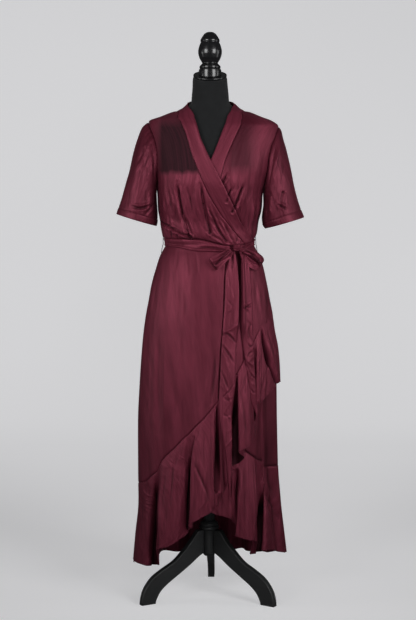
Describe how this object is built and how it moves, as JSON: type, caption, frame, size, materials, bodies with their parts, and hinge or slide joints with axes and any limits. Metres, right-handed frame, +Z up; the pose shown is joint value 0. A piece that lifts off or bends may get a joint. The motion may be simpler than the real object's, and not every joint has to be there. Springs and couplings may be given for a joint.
{
  "type": "wrap dress on a dress form",
  "caption": "Satin wrap dress with short sleeves, a neck band, a tied belt and high-low flounces, worn by a limbless dress form on a turned pole with a tripod foot.",
  "frame": {"origin": "on the floor, at the bottom centre of the whole object's bounding box", "axes": "+Z up along the pole, -Y towards the front of the dress, +X to the viewer's right when facing the front"},
  "size_m": [0.5472, 0.4176, 1.6575],
  "materials": {
    "satin": "burgundy satin, soft sheen",
    "thread": "twisted thread",
    "jersey": "black knitted cover",
    "lacquer": "gloss black lacquer",
    "stand_wood": "satin black paint"
  },
  "bodies": {
    "root": {"bodice_front_outer": "satin", "bodice_front_under": "satin", "bodice_back": "satin", "neck_band_outer": "satin", "neck_band_under": "satin", "neck_band_back": "satin", "sleeve_left": "satin", "sleeve_right": "satin", "sleeve_hem_left": "satin", "sleeve_hem_right": "satin", "skirt_front_outer": "satin", "skirt_front_under": "satin", "skirt_back": "satin", "flounce_outer": "satin", "flounce_under": "satin", "flounce_back": "satin", "belt": "satin", "belt_knot": "satin", "bow_loop_left": "satin", "bow_loop_right": "satin", "tie_tail_long": "satin", "tie_tail_short": "satin", "belt_loop_left": "thread", "belt_loop_right": "thread", "form_torso": "jersey", "finial": "lacquer", "neck_cap": "lacquer", "pole": "stand_wood", "hub": "stand_wood", "leg_left": "stand_wood", "leg_right": "stand_wood", "leg_rear": "stand_wood"}
  },
  "joints": []
}
